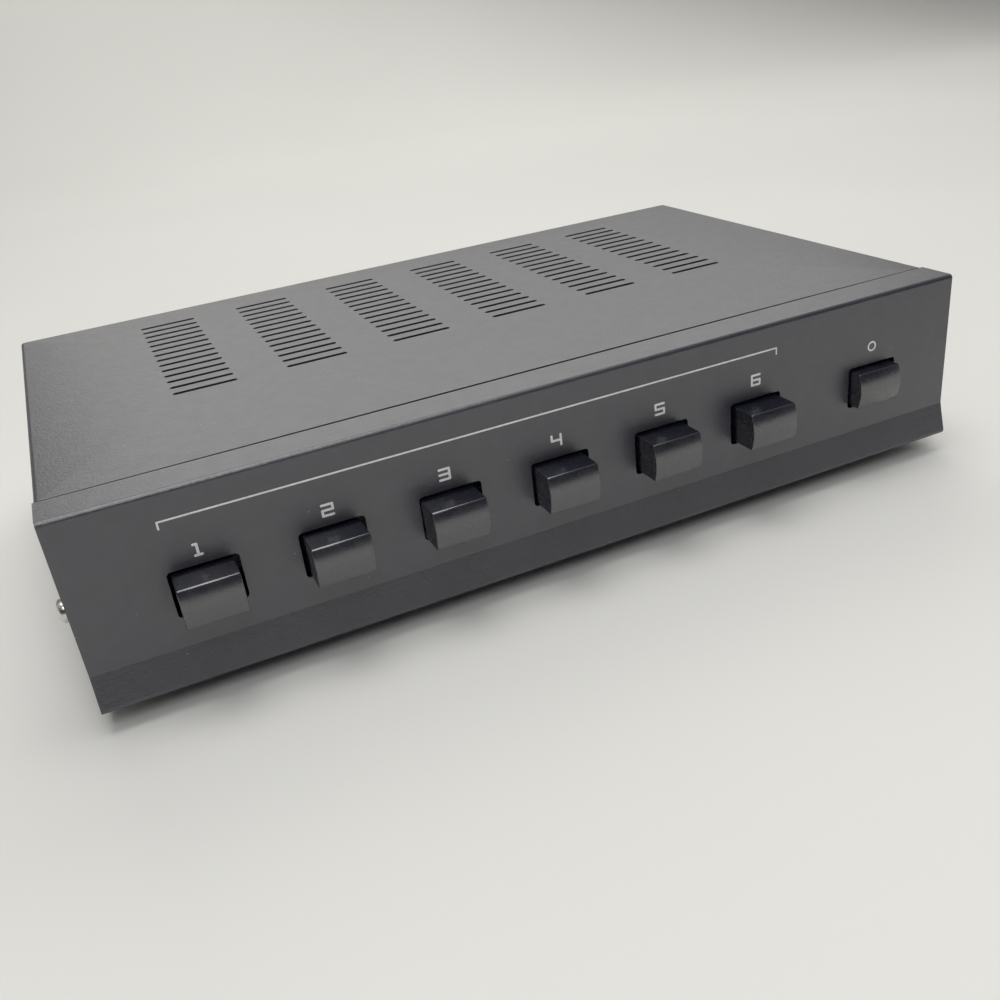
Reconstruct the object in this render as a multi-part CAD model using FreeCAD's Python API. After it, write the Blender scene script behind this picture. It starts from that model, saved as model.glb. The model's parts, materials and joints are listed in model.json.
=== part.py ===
import FreeCAD, Part
import math
import os

# Six-way speaker selector switch in a flat steel case. All sizes are in millimetres.
# The origin is on the table, under the middle of all that shows, buttons and levers included.
# The front looks along -Y, +X runs to the right as seen from the front, and +Z is up.

# Case
case_width = 285.0
case_depth = 172.7
panel_height = 55.9
foot_height = 6.5
sheet = 1.0
bend_radius = 1.3
strip_height = 10.9
strip_flare = 2.8
lip_depth = 13.0
seam_gap = 0.3
seam_bow = 0.8
cover_inset = 0.2
cover_gap = 0.2
cover_lift = 0.6
rear_lip_height = 7.0
flange_height = 13.0
flange_depth = 16.0

# Vents in the cover: groups of slots with round ends
vent_groups = 6
vent_slots = 14
vent_group_pitch = 36.0
vent_slot_pitch = 6.42
vent_slot_length = 20.0
vent_slot_width = 2.0
vent_first_slot = 69.6

# Buttons and their switches
button_count = 6
first_button_inset = 34.4
last_button_inset = 78.1
protection_button_inset = 31.9
switch_offsets = [-0.3, -0.2, -1.0, -0.6, -0.3, 0.0, -0.5]
button_axis_height = 26.4
hole_width = 18.8
hole_height = 13.7
hole_corner = 1.2
cap_width = 16.2
cap_height = 11.7
cap_out = 9.4
cap_latched_out = 4.5
cap_inside = 6.0
cap_bulge = 0.8
cap_wall = 1.4
cap_front_wall = 3.0
cap_edge = 0.25
cap_corner = 0.7
socket_wall = 1.5
button_travel = 5.4
plunger_size = 4.0
plunger_fit = 0.1
socket_fit = 0.05
socket_depth = 7.0
collar_size = 7.0
collar_length = 1.5
switch_width = 14.0
switch_height = 13.0
switch_length = 28.0
switch_setback = 19.0
plunger_hold = 8.0
spring_wire = 0.4
spring_radius = 1.6
spring_pitch = 0.9
spring_turns = 3
spring_spare = 0.6

# Board that carries the switches, the resistors and the terminal tails
board_thickness = 1.6
board_side_gap = 8.0
board_front_setback = 17.0
board_terminal_gap = 1.5
board_hole_inset_x = 7.0
board_hole_inset_y = 30.0
resistor_count = 4
resistor_length = 22.0
resistor_width = 10.0
resistor_height = 9.0
resistor_lift = 3.0
resistor_pitch = 52.0
resistor_row = 92.0
resistor_lead = 0.8

# Rear terminals
terminal_names = ["input"] + [f"output_{n}" for n in range(1, 7)]
pole_names = ["left_plus", "left_minus", "right_plus", "right_minus"]
terminal_margin = 11.25
terminal_top_gap = 2.0
housing_gap = 0.7
pocket_wall = 1.2
pocket_top = 11.0
pocket_bottom = -5.6
pocket_depth = 7.0
cavity_bottom = -10.4
front_wall = 2.0
housing_half_height = 11.8
housing_depth = 9.5
housing_side_wall = 0.7
housing_fit = 0.2
face_rim = 1.1
face_thickness = 2.5
face_corner = 1.0
lug_height = 15.5
lug_radius = 3.4
wire_hole = 3.6
wire_hole_height = -8.0
lever_side_gap = 0.25
lever_tip = 4.5
pivot_y = -0.6
pivot_z = 8.0
pivot_radius = 1.1
pivot_fit = 0.07
pivot_reach = 0.5
contact_side_gap = 1.4
contact_sheet = 0.4
contact_y = -5.7
contact_low = -9.6
contact_high = 4.6
contact_reach = 4.5
contact_fit = 0.1

# Screws, washers, nuts and feet
side_screw_radius = 1.5
side_head_radius = 3.3
side_head_height = 2.3
side_screw_length = 6.0
side_washer_radius = 4.05
side_washer_thickness = 0.6
side_screw_height = 27.5
side_screw_front = 8.0
side_screw_rear = 150.0
rear_screw_count = 3
rear_screw_pitch = 124.0
rear_screw_radius = 1.25
rear_head_radius = 2.3
rear_head_height = 1.5
rear_screw_length = 5.0
terminal_screw_radius = 1.25
terminal_head_radius = 2.4
terminal_head_height = 1.6
terminal_screw_length = 7.0
foot_radius = 7.5
foot_taper = 1.0
foot_inset_x = 24.0
foot_inset_y = 24.0
foot_screw_radius = 1.5
foot_head_radius = 3.0
foot_head_height = 2.2
foot_recess_radius = 3.6
foot_recess_depth = 3.5
nut_width = 5.5
nut_height = 2.4
standoff_width = 6.0
standoff_bore = 1.3
board_screw_radius = 1.2
board_head_radius = 2.5
board_head_height = 1.7
board_screw_length = 6.0
thread_fit = 0.1

# Places that follow from the sizes above
x_half = case_width / 2
front_reach = cap_out + cap_bulge
rear_reach = lever_tip - sheet - cover_gap
y_front = (front_reach - rear_reach - case_depth) / 2
y_back = y_front + case_depth
z_base = foot_height
z_top = z_base + panel_height
cover_half = x_half - cover_inset
tray_half = cover_half - sheet - cover_gap
y_seam = y_front + lip_depth + seam_gap
y_rear_panel = y_back - sheet - cover_gap
button_z = z_base + button_axis_height
board_top = button_z - switch_height / 2
board_bottom = board_top - board_thickness
switch_front = y_front + switch_setback
bore_depth = plunger_hold + button_travel + spring_spare + spring_turns * spring_pitch + spring_wire
terminal_z = z_top - rear_lip_height - terminal_top_gap - lug_radius - lug_height
terminal_pitch = (case_width - 2 * terminal_margin) / len(terminal_names)
housing_half = (terminal_pitch - housing_gap) / 2 - face_rim
pole_pitch = (2 * (housing_half - housing_side_wall) + pocket_wall) / len(pole_names)
pocket_width = pole_pitch - pocket_wall
contact_width = pocket_width - 2 * contact_side_gap
pitch_half = (len(terminal_names) - 1) / 2
button_pitch = (case_width - first_button_inset - last_button_inset) / (button_count - 1)
board_rear = y_rear_panel - housing_depth - board_terminal_gap
button_names = [f"button_{n}" for n in range(1, button_count + 1)] + ["protection_button"]
hole_places = [first_button_inset - x_half + n * button_pitch for n in range(button_count)]
hole_places.append(x_half - protection_button_inset)
switch_places = [x + offset for x, offset in zip(hole_places, switch_offsets)]
terminal_places = [(n - pitch_half) * terminal_pitch for n in range(len(terminal_names))]
pole_places = [(n - (len(pole_names) - 1) / 2) * pole_pitch for n in range(len(pole_names))]

X_AXIS = FreeCAD.Vector(1, 0, 0)
Y_AXIS = FreeCAD.Vector(0, 1, 0)
Z_AXIS = FreeCAD.Vector(0, 0, 1)


def box(x0, x1, y0, y1, z0, z1):
    """A block between two corners."""
    return Part.makeBox(x1 - x0, y1 - y0, z1 - z0, FreeCAD.Vector(x0, y0, z0))


def rod(radius, start, direction, length):
    """A round bar from a start point."""
    return Part.makeCylinder(radius, length, FreeCAD.Vector(*start), direction)


def hexagon(width, start, length):
    """An upright hexagonal bar, measured across its flats."""
    corner = width / math.sqrt(3)
    turns = [math.radians(60 * n) for n in range(7)]
    x, y, z = start
    points = [FreeCAD.Vector(x + corner * math.cos(a), y + corner * math.sin(a), z) for a in turns]
    return Part.Face(Part.makePolygon(points)).extrude(Z_AXIS * length)


def rounded_face(points, radii, place):
    """A flat face from 2-D corner points, each corner rounded by its own radius."""
    edges = []
    count = len(points)
    ends = []
    for n in range(count):
        before = FreeCAD.Vector(*points[n - 1], 0)
        here = FreeCAD.Vector(*points[n], 0)
        after = FreeCAD.Vector(*points[(n + 1) % count], 0)
        back = (before - here).normalize()
        ahead = (after - here).normalize()
        half = back.getAngle(ahead) / 2
        if radii[n] == 0:
            ends.append((here, here, None))
            continue
        reach = radii[n] / math.tan(half)
        middle = (back + ahead).normalize()
        centre = here + middle * (radii[n] / math.sin(half))
        ends.append((here + back * reach, here + ahead * reach, centre - middle * radii[n]))
    for n in range(count):
        start, finish, crown = ends[n]
        if crown is not None:
            edges.append(Part.Arc(place(start), place(crown), place(finish)).toShape())
        following = ends[(n + 1) % count][0]
        edges.append(Part.LineSegment(place(finish), place(following)).toShape())
    return Part.Face(Part.Wire(edges))


def on_side(x):
    """Places 2-D points (y, z) on a plane at x."""
    return lambda point: FreeCAD.Vector(x, point.x, point.y)


def on_front(y):
    """Places 2-D points (x, z) on a plane at y."""
    return lambda point: FreeCAD.Vector(point.x, y, point.y)


def rounded_slab(x0, x1, z0, z1, y0, y1, corner):
    """A slab seen from the front as a rectangle with round corners."""
    points = [(x0, z0), (x1, z0), (x1, z1), (x0, z1)]
    return rounded_face(points, [corner] * 4, on_front(y0)).extrude(Y_AXIS * (y1 - y0))


def bent_outline(outer, turn):
    """Corner points and radii of a folded sheet, from the path of its outer face.

    turn is 1 when the sheet lies to the left of the path and -1 when it lies to the right.
    """
    inner = []
    radii = []
    count = len(outer)
    steps = []
    for n in range(count - 1):
        run = (outer[n + 1][0] - outer[n][0], outer[n + 1][1] - outer[n][1])
        length = math.hypot(*run)
        steps.append((run[0] / length, run[1] / length))
    for n in range(count):
        first = steps[max(n - 1, 0)]
        second = steps[min(n, count - 2)]
        normal = (-(first[1] + second[1]) * turn, (first[0] + second[0]) * turn)
        size = math.hypot(*normal)
        normal = (normal[0] / size, normal[1] / size)
        along = normal[0] * -second[1] * turn + normal[1] * second[0] * turn
        inner.append((outer[n][0] + normal[0] * sheet / along, outer[n][1] + normal[1] * sheet / along))
        bend = (first[0] * second[1] - first[1] * second[0]) * turn
        if abs(bend) < 1e-6:
            radii.append((0, 0))
        elif bend > 0:
            radii.append((bend_radius, bend_radius - sheet))
        else:
            radii.append((bend_radius - sheet, bend_radius))
    points = outer + inner[::-1]
    return points, [r[0] for r in radii] + [r[1] for r in radii][::-1]


def folded_sheet(outer, turn, half_width):
    """A sheet folded along a path in the (y, z) plane, as wide as the case part that it makes."""
    points, radii = bent_outline(outer, turn)
    return rounded_face(points, radii, on_side(-half_width)).extrude(X_AXIS * (2 * half_width))


def save(node, solids):
    """Writes one node as a STEP file."""
    shape = solids[0] if len(solids) == 1 else Part.makeCompound(solids)
    shape.exportStep(f"parts/{node}.step")


def pan_screw(place, inward, head_radius, head_height, radius, length, drive):
    """A screw whose head sits on a place and whose shank runs inward, with a cross slot."""
    start = FreeCAD.Vector(*place)
    screw = rod(head_radius, place, inward * -1, head_height).fuse(rod(radius, place, inward, length))
    across = X_AXIS if abs(inward.x) < 0.5 else Y_AXIS
    other = inward.cross(across)
    head_end = start - inward * head_height
    for one, two in ((across, other), (other, across)):
        corner = head_end - one * drive - two * (drive / 4)
        slot = Part.makePolygon([corner, corner + one * 2 * drive, corner + one * 2 * drive + two * (drive / 2),
                                 corner + two * (drive / 2), corner])
        screw = screw.cut(Part.Face(slot).extrude(inward * (head_height * 0.5)))
    return screw


# Screw places, shared by the holes and the screws
side_screw_places = [(side, y_front + setback, z_base + side_screw_height)
                     for side in (-1, 1) for setback in (side_screw_front, side_screw_rear)]
rear_screw_places = [((n - (rear_screw_count - 1) / 2) * rear_screw_pitch, y_back, z_top - rear_lip_height / 2)
                     for n in range(rear_screw_count)]
foot_places = [(sx * (x_half - foot_inset_x), y)
               for sx in (-1, 1) for y in (y_front + foot_inset_y, y_back - foot_inset_y)]
board_half = tray_half - board_side_gap
board_screw_places = [(sx * (board_half - board_hole_inset_x), y)
                      for sx in (-1, 1)
                      for y in (y_front + board_front_setback + board_hole_inset_y, board_rear - board_hole_inset_y)]
terminal_screw_places = [(x, terminal_z + sz * lug_height) for x in terminal_places for sz in (-1, 1)]


def make_chassis():
    """Tray folded from one sheet: rear panel, floor, flared strip, front panel and top lip."""
    front_path = [(y_front + sheet, z_base), (y_front - strip_flare, z_base),
                  (y_front, z_base + strip_height), (y_front, z_top), (y_front + lip_depth, z_top)]
    front = folded_sheet(front_path, -1, x_half)
    tray_path = [(y_front, z_base), (y_rear_panel, z_base),
                 (y_rear_panel, z_top - sheet - cover_gap)]
    tray = folded_sheet(tray_path, 1, tray_half)
    chassis = front.fuse(tray)
    for side in (-1, 1):
        x0, x1 = sorted((side * tray_half, side * (tray_half - sheet)))
        floor_flange = box(x0, x1, y_front + sheet, y_rear_panel - sheet, z_base, z_base + flange_height)
        front_flange = box(x0, x1, y_front + sheet / 2, y_front + flange_depth, z_base + strip_height / 2,
                           z_top - 2 * sheet)
        rear_flange = box(x0, x1, y_rear_panel - flange_depth, y_rear_panel - sheet / 2, z_base + sheet,
                          z_top - 2 * sheet - cover_gap)
        rear_screw_tab = box(x0, x1, y_front + side_screw_rear - flange_depth / 2, y_rear_panel - sheet,
                             z_base + sheet, z_base + side_screw_height + flange_depth / 2)
        chassis = chassis.fuse([floor_flange, front_flange, rear_flange, rear_screw_tab])
    chassis = chassis.removeSplitter()
    tools = []
    for x in hole_places:
        tools.append(rounded_slab(x - hole_width / 2, x + hole_width / 2, button_z - hole_height / 2,
                                  button_z + hole_height / 2, y_front - sheet, y_front + 2 * sheet, hole_corner))
    for x in terminal_places:
        half = housing_half + housing_fit
        tall = housing_half_height + housing_fit
        tools.append(rounded_slab(x - half, x + half, terminal_z - tall, terminal_z + tall,
                                  y_rear_panel - 2 * sheet, y_rear_panel + sheet, housing_fit))
    for x, z in terminal_screw_places:
        tools.append(rod(terminal_screw_radius + thread_fit, (x, y_rear_panel - 2 * sheet, z), Y_AXIS, 3 * sheet))
    for side, y, z in side_screw_places:
        tools.append(rod(side_screw_radius + thread_fit, (side * (tray_half + sheet), y, z), X_AXIS * -side, 3 * sheet))
    for x, y, z in rear_screw_places:
        tools.append(rod(rear_screw_radius + thread_fit, (x, y_rear_panel - 2 * sheet, z), Y_AXIS, 3 * sheet))
    for x, y in foot_places:
        tools.append(rod(foot_screw_radius + thread_fit, (x, y, z_base - sheet), Z_AXIS, 3 * sheet))
    for x, y in board_screw_places:
        tools.append(rod(board_screw_radius + thread_fit, (x, y, z_base - sheet), Z_AXIS, 3 * sheet))
    return chassis.cut(tools)


def vent_tools():
    """Cutters for the slots, as one round-ended slab for each."""
    tools = []
    straight = vent_slot_length / 2 - vent_slot_width / 2
    for group in range(vent_groups):
        x = (group - (vent_groups - 1) / 2) * vent_group_pitch
        for row in range(vent_slots):
            y = y_front + vent_first_slot + row * vent_slot_pitch
            r = vent_slot_width / 2
            z = z_top - 2 * sheet
            corners = [FreeCAD.Vector(x - straight, y - r, z), FreeCAD.Vector(x + straight, y - r, z),
                       FreeCAD.Vector(x + straight, y + r, z), FreeCAD.Vector(x - straight, y + r, z)]
            right = Part.Arc(corners[1], FreeCAD.Vector(x + straight + r, y, z), corners[2])
            left = Part.Arc(corners[3], FreeCAD.Vector(x - straight - r, y, z), corners[0])
            edges = [Part.LineSegment(corners[0], corners[1]).toShape(), right.toShape(),
                     Part.LineSegment(corners[2], corners[3]).toShape(), left.toShape()]
            tools.append(Part.Face(Part.Wire(edges)).extrude(Z_AXIS * (3 * sheet)))
    return tools


def seam_tool():
    """Cutter that bows the cover's front edge away from the panel's lip, most in the middle."""
    z = z_top - 2 * sheet
    left = FreeCAD.Vector(-cover_half, y_seam, z)
    middle = FreeCAD.Vector(0, y_seam + seam_bow, z)
    right = FreeCAD.Vector(cover_half, y_seam, z)
    edges = [Part.Arc(left, middle, right).toShape(), Part.LineSegment(right, left).toShape()]
    return Part.Face(Part.Wire(edges)).extrude(Z_AXIS * (3 * sheet))


def make_cover():
    """Cover folded over the top and both sides, with a lip down over the rear panel."""
    foot_of_side = z_base + cover_lift
    path = [(-cover_half, foot_of_side), (-cover_half, z_top), (cover_half, z_top), (cover_half, foot_of_side)]
    points, radii = bent_outline(path, -1)
    cover = rounded_face(points, radii, on_front(y_seam)).extrude(Y_AXIS * (y_back - y_seam))
    for side in (-1, 1):
        x0, x1 = sorted((side * cover_half, side * (cover_half - sheet)))
        cover = cover.fuse(box(x0, x1, y_front + 2 * sheet, y_seam, foot_of_side, z_top - sheet - cover_gap))
    rear_half = cover_half - 2 * sheet
    lip_path = [(y_back - lip_depth, z_top), (y_back, z_top), (y_back, z_top - rear_lip_height)]
    square_end = box(-cover_half, cover_half, y_back - bend_radius, y_back, z_top - bend_radius - sheet, z_top)
    cover = cover.cut(square_end).fuse(folded_sheet(lip_path, -1, rear_half)).removeSplitter()
    tools = vent_tools() + [seam_tool()]
    for side, y, z in side_screw_places:
        tools.append(rod(side_screw_radius + thread_fit, (side * (cover_half + sheet), y, z), X_AXIS * -side, 3 * sheet))
    for x, y, z in rear_screw_places:
        tools.append(rod(rear_screw_radius + thread_fit, (x, y_back - 2 * sheet, z), Y_AXIS, 3 * sheet))
    return cover.cut(tools)


def side_edges(shape, z):
    """The straight edges of a cap that run from front to back at one height."""
    return [e for e in shape.Edges if e.BoundBox.XLength < 0.01 and e.BoundBox.ZLength < 0.01
            and abs(e.BoundBox.ZMin - z) < 0.01 and e.BoundBox.YLength > cap_inside]


def make_cap(x, out):
    """Push cap with a bowed front face, hollow behind, with a square socket for its plunger."""
    y0 = y_front - out
    y1 = y0 + cap_out + cap_inside
    z0 = button_z - cap_height / 2
    z1 = button_z + cap_height / 2
    half = cap_width / 2
    edges = [Part.Arc(FreeCAD.Vector(x - half, y0, z1), FreeCAD.Vector(x - half, y0 - cap_bulge, button_z),
                      FreeCAD.Vector(x - half, y0, z0)).toShape(),
             Part.LineSegment(FreeCAD.Vector(x - half, y0, z0), FreeCAD.Vector(x - half, y1, z0)).toShape(),
             Part.LineSegment(FreeCAD.Vector(x - half, y1, z0), FreeCAD.Vector(x - half, y1, z1)).toShape(),
             Part.LineSegment(FreeCAD.Vector(x - half, y1, z1), FreeCAD.Vector(x - half, y0, z1)).toShape()]
    cap = Part.Face(Part.Wire(edges)).extrude(X_AXIS * cap_width)
    cap = cap.makeFillet(cap_corner, side_edges(cap, z0))
    cap = cap.makeFillet(cap_edge, side_edges(cap, z1))
    hollow = box(x - half + cap_wall, x + half - cap_wall, y0 + cap_front_wall, y1,
                 z0 + cap_wall, z1 - cap_wall)
    post_half = plunger_size / 2 + socket_fit + socket_wall
    post = box(x - post_half, x + post_half, y0 + cap_front_wall - cap_wall, y1, button_z - post_half,
               button_z + post_half)
    socket_half = plunger_size / 2 + socket_fit
    socket = box(x - socket_half, x + socket_half, y1 - socket_depth - socket_fit, y1,
                 button_z - socket_half, button_z + socket_half)
    return cap.cut(hollow).fuse(post).cut(socket)


def make_plunger(x, out):
    """Square rod from the cap's socket into the switch, with a collar behind the cap."""
    cap_rear = y_front - out + cap_out + cap_inside
    shift = cap_out - out
    half = plunger_size / 2
    shaft = box(x - half, x + half, cap_rear - socket_depth, switch_front + plunger_hold + shift,
                button_z - half, button_z + half)
    wide = collar_size / 2
    return shaft.fuse(box(x - wide, x + wide, cap_rear, cap_rear + collar_length, button_z - wide, button_z + wide))


def make_switch_body(x):
    """Latching switch with a square guide bore for its plunger."""
    body = box(x - switch_width / 2, x + switch_width / 2, switch_front, switch_front + switch_length,
               board_top, board_top + switch_height)
    half = plunger_size / 2 + plunger_fit
    return body.cut(box(x - half, x + half, switch_front, switch_front + bore_depth, button_z - half,
                        button_z + half))


def make_return_spring(x):
    """Small coil against the end of the bore, at the length it has when the button is pressed."""
    height = spring_turns * spring_pitch
    helix = Part.makeHelix(spring_pitch, height, spring_radius)
    ring = Part.Wire(Part.makeCircle(spring_wire / 2, FreeCAD.Vector(spring_radius, 0, 0), Y_AXIS))
    coil = Part.Wire(helix.Edges).makePipeShell([ring], True, False)
    coil.rotate(FreeCAD.Vector(0, 0, 0), X_AXIS, 90)
    coil.translate(FreeCAD.Vector(x, switch_front + bore_depth - spring_wire / 2, button_z))
    return coil


def make_board():
    """One circuit board, from the switches at the front to the terminal tails at the rear."""
    board = box(-board_half, board_half, y_front + board_front_setback, board_rear, board_bottom, board_top)
    holes = [rod(board_screw_radius + thread_fit, (x, y, board_bottom - board_thickness), Z_AXIS, 3 * board_thickness)
             for x, y in board_screw_places]
    return board.cut(holes)


def make_standoff(x, y):
    """Hexagonal pillar between the floor and the board."""
    height = board_bottom - z_base - sheet
    pillar = hexagon(standoff_width, (x, y, z_base + sheet), height)
    return pillar.cut(rod(standoff_bore, (x, y, z_base), Z_AXIS, height + 2 * sheet))


def make_resistor(x):
    """Cement power resistor held off the board on its two bent leads."""
    y = y_front + resistor_row
    z = board_top + resistor_lift
    half = resistor_length / 2
    body = rounded_slab(x - half, x + half, z, z + resistor_height, y - resistor_width / 2,
                        y + resistor_width / 2, resistor_lead)
    for side in (-1, 1):
        out = x + side * (half + resistor_lead)
        middle = z + resistor_height / 2
        lead = rod(resistor_lead / 2, (out, y, board_top), Z_AXIS, middle - board_top)
        bend = Part.makeSphere(resistor_lead / 2, FreeCAD.Vector(out, y, middle))
        stub = rod(resistor_lead / 2, (x + side * half, y, middle), X_AXIS * side, resistor_lead)
        body = body.fuse([lead, bend, stub])
    return body


def contact_strip(x, extra):
    """Leaf contact behind a lever, with its tail through the housing and down to the board."""
    half = contact_width / 2 + extra
    y = y_rear_panel + contact_y
    low = terminal_z + contact_low
    high = terminal_z + contact_high
    tail_y = y_rear_panel - housing_depth - contact_reach
    leaf = box(x - half, x + half, y, y + contact_sheet, low, high)
    bridge = box(x - half, x + half, tail_y, y + contact_sheet, high - extra, high + contact_sheet + extra)
    tail = box(x - half, x + half, tail_y, tail_y + contact_sheet, board_top, high)
    return leaf, bridge, tail


def make_housing(x):
    """Four-way spring terminal: a face on the rear panel and a body with a pocket for each lever."""
    y = y_rear_panel
    half = housing_half
    tall = housing_half_height
    body = box(x - half, x + half, y - housing_depth, y + face_rim, terminal_z - tall, terminal_z + tall)
    rim = face_rim
    face = rounded_slab(x - half - rim, x + half + rim, terminal_z - tall - rim, terminal_z + tall + rim,
                        y, y + face_thickness, face_corner)
    lugs = []
    tools = []
    for side in (-1, 1):
        z = terminal_z + side * lug_height
        lugs.append(rod(lug_radius, (x, y, z), Y_AXIS, face_thickness))
        tools.append(rod(terminal_screw_radius + thread_fit, (x, y - sheet, z), Y_AXIS, face_thickness + 2 * sheet))
    housing = body.fuse([face] + lugs)
    out = y + face_thickness + sheet
    for dx in pole_places:
        middle = x + dx
        wide = pocket_width / 2
        hole = wire_hole / 2
        hole_z = terminal_z + wire_hole_height
        tools.append(box(middle - wide, middle + wide, y - pocket_depth, out, terminal_z + pocket_bottom,
                         terminal_z + pocket_top))
        tools.append(box(middle - wide, middle + wide, y - pocket_depth, y - front_wall,
                         terminal_z + cavity_bottom, terminal_z + pocket_top))
        tools.append(rounded_slab(middle - hole, middle + hole, hole_z - hole, hole_z + hole,
                                  y - pocket_depth, out, face_corner))
        tools.append(contact_strip(middle, contact_fit)[1])
    reach = pole_places[-1] + pocket_width / 2 + pivot_reach + pivot_fit
    tools.append(rod(pivot_radius + pivot_fit, (x - reach, y + pivot_y, terminal_z + pivot_z), X_AXIS, 2 * reach))
    return housing.cut(tools)


def make_lever(x):
    """Spring-terminal lever: a tab on two stub pins, with a nose that pushes the contact."""
    half = pocket_width / 2 - lever_side_gap
    outline = [(1.9, 9.9), (lever_tip, -2.4), (lever_tip, -3.9), (3.4, -4.6), (0.6, -4.2), (0.0, 0.2),
               (-3.1, 1.2), (-3.1, 2.4), (-1.2, 4.2), (-2.1, 9.7)]
    radii = [0.6, 0.4, 0.3, 0.3, 0.3, 0.6, 0.4, 0.4, 0.6, 0.6]
    points = [(y_rear_panel + py, terminal_z + pz) for py, pz in outline]
    tab = rounded_face(points, radii, on_side(x - half)).extrude(X_AXIS * (2 * half))
    reach = pocket_width / 2 + pivot_reach
    return tab.fuse(rod(pivot_radius, (x - reach, y_rear_panel + pivot_y, terminal_z + pivot_z), X_AXIS, 2 * reach))


def make_foot(x, y):
    """Rubber foot, wider at the top, with a recess for its screw."""
    foot = Part.makeCone(foot_radius - foot_taper, foot_radius, foot_height, FreeCAD.Vector(x, y, 0))
    foot = foot.cut(rod(foot_recess_radius, (x, y, 0), Z_AXIS, foot_recess_depth))
    return foot.cut(rod(foot_screw_radius + thread_fit, (x, y, 0), Z_AXIS, foot_height))


def make_nut(x, y):
    """Hexagonal nut on the floor of the case, over a foot's screw."""
    nut = hexagon(nut_width, (x, y, z_base + sheet), nut_height)
    return nut.cut(rod(foot_screw_radius + thread_fit, (x, y, z_base), Z_AXIS, nut_height + 2 * sheet))


os.makedirs("parts", exist_ok=True)

save("chassis", [make_chassis()])
save("top_cover", [make_cover()])

# Buttons, their plungers and what they slide in
cap_outs = [cap_out] * button_count + [cap_latched_out]
for name, x, out in zip(button_names, switch_places, cap_outs):
    save(f"{name}_cap", [make_cap(x, out)])
    save(f"{name}_plunger", [make_plunger(x, out)])
save("switch_bodies", [make_switch_body(x) for x in switch_places])
save("switch_return_springs", [make_return_spring(x) for x in switch_places])

# Board and what stands on it
save("main_board", [make_board()])
save("board_standoffs", [make_standoff(x, y) for x, y in board_screw_places])
save("board_screws", [pan_screw((x, y, board_top), Z_AXIS * -1, board_head_radius, board_head_height,
                                board_screw_radius, board_screw_length, board_head_radius / 2)
                      for x, y in board_screw_places])
save("standoff_screws", [pan_screw((x, y, z_base), Z_AXIS, board_head_radius, board_head_height,
                                   board_screw_radius, board_screw_length, board_head_radius / 2)
                         for x, y in board_screw_places])
resistor_places = [(n - (resistor_count - 1) / 2) * resistor_pitch for n in range(resistor_count)]
save("protection_resistors", [make_resistor(x) for x in resistor_places])

# Rear terminals
save("terminal_housings", [make_housing(x) for x in terminal_places])
contacts = []
for x in terminal_places:
    for dx in pole_places:
        leaf, bridge, tail = contact_strip(x + dx, 0)
        contacts.append(leaf.fuse([bridge, tail]).removeSplitter())
save("terminal_contacts", contacts)
for terminal, x in zip(terminal_names, terminal_places):
    for pole, dx in zip(pole_names, pole_places):
        save(f"{terminal}_{pole}_lever", [make_lever(x + dx)])
save("terminal_screws", [pan_screw((x, y_rear_panel + face_thickness, z), Y_AXIS * -1, terminal_head_radius,
                                   terminal_head_height, terminal_screw_radius, terminal_screw_length,
                                   terminal_head_radius / 2) for x, z in terminal_screw_places])

# Cover screws with their washers
washers = []
side_screws = []
for side, y, z in side_screw_places:
    washer_place = (side * cover_half, y, z)
    washer = rod(side_washer_radius, washer_place, X_AXIS * side, side_washer_thickness)
    washers.append(washer.cut(rod(side_screw_radius + thread_fit, washer_place, X_AXIS * side, sheet)))
    head_place = (side * (cover_half + side_washer_thickness), y, z)
    side_screws.append(pan_screw(head_place, X_AXIS * -side, side_head_radius, side_head_height,
                                 side_screw_radius, side_screw_length, side_head_radius / 2))
save("cover_side_washers", washers)
save("cover_side_screws", side_screws)
save("cover_rear_screws", [pan_screw(place, Y_AXIS * -1, rear_head_radius, rear_head_height, rear_screw_radius,
                                     rear_screw_length, rear_head_radius / 2) for place in rear_screw_places])

# Feet
save("rubber_feet", [make_foot(x, y) for x, y in foot_places])
save("foot_screws", [pan_screw((x, y, foot_recess_depth), Z_AXIS, foot_head_radius, foot_head_height,
                               foot_screw_radius, foot_height - foot_recess_depth + 2 * sheet + nut_height,
                               foot_head_radius / 2) for x, y in foot_places])
save("foot_nuts", [make_nut(x, y) for x, y in foot_places])
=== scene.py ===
# %% [markdown]
# A speaker selector switch, dressed for its picture.
#
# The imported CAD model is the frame: a folded steel case, seven push buttons, and seven spring
# terminals on the rear. This script loads it, gives every surface its finish, and models in
# Blender what a plain solid can't show, such as the bow of the seam, the soft edges of the caps,
# the domed screw heads and the printed marks. All sizes are in metres, in the frame's own axes: +X
# is right as seen from the front, -Y is towards the front, and +Z is up from the table.

# %% Load the frame
import bmesh
import bpy
import json
import math
from mathutils import Matrix, Vector


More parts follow.
